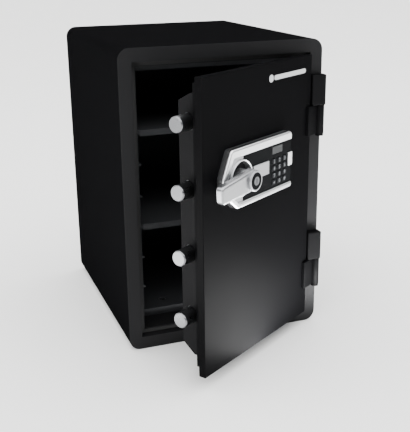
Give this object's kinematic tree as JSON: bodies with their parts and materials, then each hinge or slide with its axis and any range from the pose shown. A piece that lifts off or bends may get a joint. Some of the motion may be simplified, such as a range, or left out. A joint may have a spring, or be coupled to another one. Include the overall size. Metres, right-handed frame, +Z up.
{
  "type": "electronic in-room safe",
  "caption": "Black fire-resistant steel safe with hinged door, round locking bolts, lever handle and electronic keypad lock.",
  "frame": {"origin": "middle of the cabinet's underside, which is the centre of its floor anchor holes", "axes": "+Z up, -Y out of the front where the door is, +X towards the hinge side; the door is stored open by 33 degrees"},
  "size_m": [0.4835, 0.8385, 0.7],
  "materials": {
    "shell_paint": "fine textured black powder coat",
    "frame_paint": "smooth satin black paint",
    "fire_fill": "cast mineral fill",
    "liner_plastic": "moulded, fine grain",
    "shelf_paint": "satin dark grey paint",
    "seal_strip": "matt",
    "zinc_steel": "zinc plated",
    "bolt_chrome": "polished",
    "bush_bronze": "machined",
    "door_paint": "smooth satin black powder coat",
    "hinge_paint": "satin black paint",
    "cover_plastic": "moulded, fine grain",
    "bezel_silver": "satin silver plated",
    "lever_silver": "satin plated casting",
    "panel_plastic": "fine grain",
    "display_plastic": "clear grey window",
    "display_cell": "liquid crystal cell",
    "board_green": "solder mask",
    "battery_wrap": "printed wrap without lettering",
    "cable_red": "flexible sheath",
    "badge_silver": "satin",
    "key_plastic": "fine grain"
  },
  "bodies": {
    "cabinet": {"body_shell": "shell_paint", "back_panel": "shell_paint", "front_frame": "frame_paint", "bolt_pockets": "zinc_steel", "insulation": "fire_fill", "inner_liner": "liner_plastic", "shelf_ribs": "liner_plastic", "shelf_upper": "shelf_paint", "shelf_lower": "shelf_paint", "door_seal": "seal_strip", "anchor_sleeves": "zinc_steel", "hinge_block_upper": "hinge_paint", "hinge_block_lower": "hinge_paint", "hinge_pins": "zinc_steel"},
    "door": {"door_skin": "door_paint", "door_pan": "door_paint", "door_insulation": "fire_fill", "door_cover": "cover_plastic", "cover_screws": "zinc_steel", "bolt_guide": "zinc_steel", "hinge_leaf_upper": "hinge_paint", "hinge_leaf_lower": "hinge_paint", "hinge_bushes": "bush_bronze", "shaft_bush": "panel_plastic", "lock_bezel": "bezel_silver", "dial_ring": "bezel_silver", "face_panel": "panel_plastic", "display_window": "display_plastic", "display_module": "display_cell", "trim_plate": "bezel_silver", "end_clip": "bezel_silver", "circuit_board": "board_green", "battery_tray": "panel_plastic", "batteries": "battery_wrap", "lock_cable": "cable_red", "solenoid": "zinc_steel", "lock_screws": "zinc_steel", "badge": "badge_silver"},
    "boltwork": {"bolts": "bolt_chrome", "bolt_bar": "zinc_steel", "bolt_screws": "zinc_steel"},
    "handle": {"lever": "lever_silver", "handle_shaft": "zinc_steel", "shaft_clip": "zinc_steel", "lock_cylinder": "panel_plastic"},
    "override_core": {"key_core": "lever_silver"},
    "plunger": {"plunger": "zinc_steel"},
    "key_1_body": {"key_1": "key_plastic"},
    "key_2_body": {"key_2": "key_plastic"},
    "key_3_body": {"key_3": "key_plastic"},
    "key_4_body": {"key_4": "key_plastic"},
    "key_5_body": {"key_5": "key_plastic"},
    "key_6_body": {"key_6": "key_plastic"},
    "key_7_body": {"key_7": "key_plastic"},
    "key_8_body": {"key_8": "key_plastic"},
    "key_9_body": {"key_9": "key_plastic"},
    "key_star_body": {"key_star": "key_plastic"},
    "key_0_body": {"key_0": "key_plastic"},
    "key_hash_body": {"key_hash": "key_plastic"}
  },
  "joints": [
    {"name": "door_hinge", "type": "hinge", "parent": "cabinet", "child": "door", "pos_m": [0.234, -0.29, 0.35], "axis": [0, 0, 1], "range_deg": [-33, 87]},
    {"name": "handle_turn", "type": "hinge", "parent": "door", "child": "handle", "pos_m": [-0.03648, -0.47757, 0.449], "axis": [0.5446, -0.8387, 0], "range_deg": [0, 60], "stiffness_Nm_per_rad": 0.6, "springref_deg": -57.3},
    {"name": "bolt_slide", "type": "slide", "parent": "door", "child": "boltwork", "axis": [0.8387, 0.5446, 0], "range_m": [0, 0.034]},
    {"name": "override_turn", "type": "hinge", "parent": "handle", "child": "override_core", "pos_m": [-0.03648, -0.47757, 0.449], "axis": [0.5446, -0.8387, 0], "range_deg": [0, 90]},
    {"name": "plunger_slide", "type": "slide", "parent": "door", "child": "plunger", "axis": [0, 0, -1], "range_m": [-0.006, 0]},
    {"name": "key_1_press", "type": "slide", "parent": "door", "child": "key_1_body", "axis": [-0.5446, 0.8387, 0], "range_m": [0, 0.0012], "stiffness_N_per_m": 400, "springref_m": -0.0005},
    {"name": "key_2_press", "type": "slide", "parent": "door", "child": "key_2_body", "axis": [-0.5446, 0.8387, 0], "range_m": [0, 0.0012], "stiffness_N_per_m": 400, "springref_m": -0.0005},
    {"name": "key_3_press", "type": "slide", "parent": "door", "child": "key_3_body", "axis": [-0.5446, 0.8387, 0], "range_m": [0, 0.0012], "stiffness_N_per_m": 400, "springref_m": -0.0005},
    {"name": "key_4_press", "type": "slide", "parent": "door", "child": "key_4_body", "axis": [-0.5446, 0.8387, 0], "range_m": [0, 0.0012], "stiffness_N_per_m": 400, "springref_m": -0.0005},
    {"name": "key_5_press", "type": "slide", "parent": "door", "child": "key_5_body", "axis": [-0.5446, 0.8387, 0], "range_m": [0, 0.0012], "stiffness_N_per_m": 400, "springref_m": -0.0005},
    {"name": "key_6_press", "type": "slide", "parent": "door", "child": "key_6_body", "axis": [-0.5446, 0.8387, 0], "range_m": [0, 0.0012], "stiffness_N_per_m": 400, "springref_m": -0.0005},
    {"name": "key_7_press", "type": "slide", "parent": "door", "child": "key_7_body", "axis": [-0.5446, 0.8387, 0], "range_m": [0, 0.0012], "stiffness_N_per_m": 400, "springref_m": -0.0005},
    {"name": "key_8_press", "type": "slide", "parent": "door", "child": "key_8_body", "axis": [-0.5446, 0.8387, 0], "range_m": [0, 0.0012], "stiffness_N_per_m": 400, "springref_m": -0.0005},
    {"name": "key_9_press", "type": "slide", "parent": "door", "child": "key_9_body", "axis": [-0.5446, 0.8387, 0], "range_m": [0, 0.0012], "stiffness_N_per_m": 400, "springref_m": -0.0005},
    {"name": "key_star_press", "type": "slide", "parent": "door", "child": "key_star_body", "axis": [-0.5446, 0.8387, 0], "range_m": [0, 0.0012], "stiffness_N_per_m": 400, "springref_m": -0.0005},
    {"name": "key_0_press", "type": "slide", "parent": "door", "child": "key_0_body", "axis": [-0.5446, 0.8387, 0], "range_m": [0, 0.0012], "stiffness_N_per_m": 400, "springref_m": -0.0005},
    {"name": "key_hash_press", "type": "slide", "parent": "door", "child": "key_hash_body", "axis": [-0.5446, 0.8387, 0], "range_m": [0, 0.0012], "stiffness_N_per_m": 400, "springref_m": -0.0005}
  ],
  "couplings": [
    {"joint": "bolt_slide", "follows": "handle_turn", "m_per_rad": 0.03246}
  ]
}
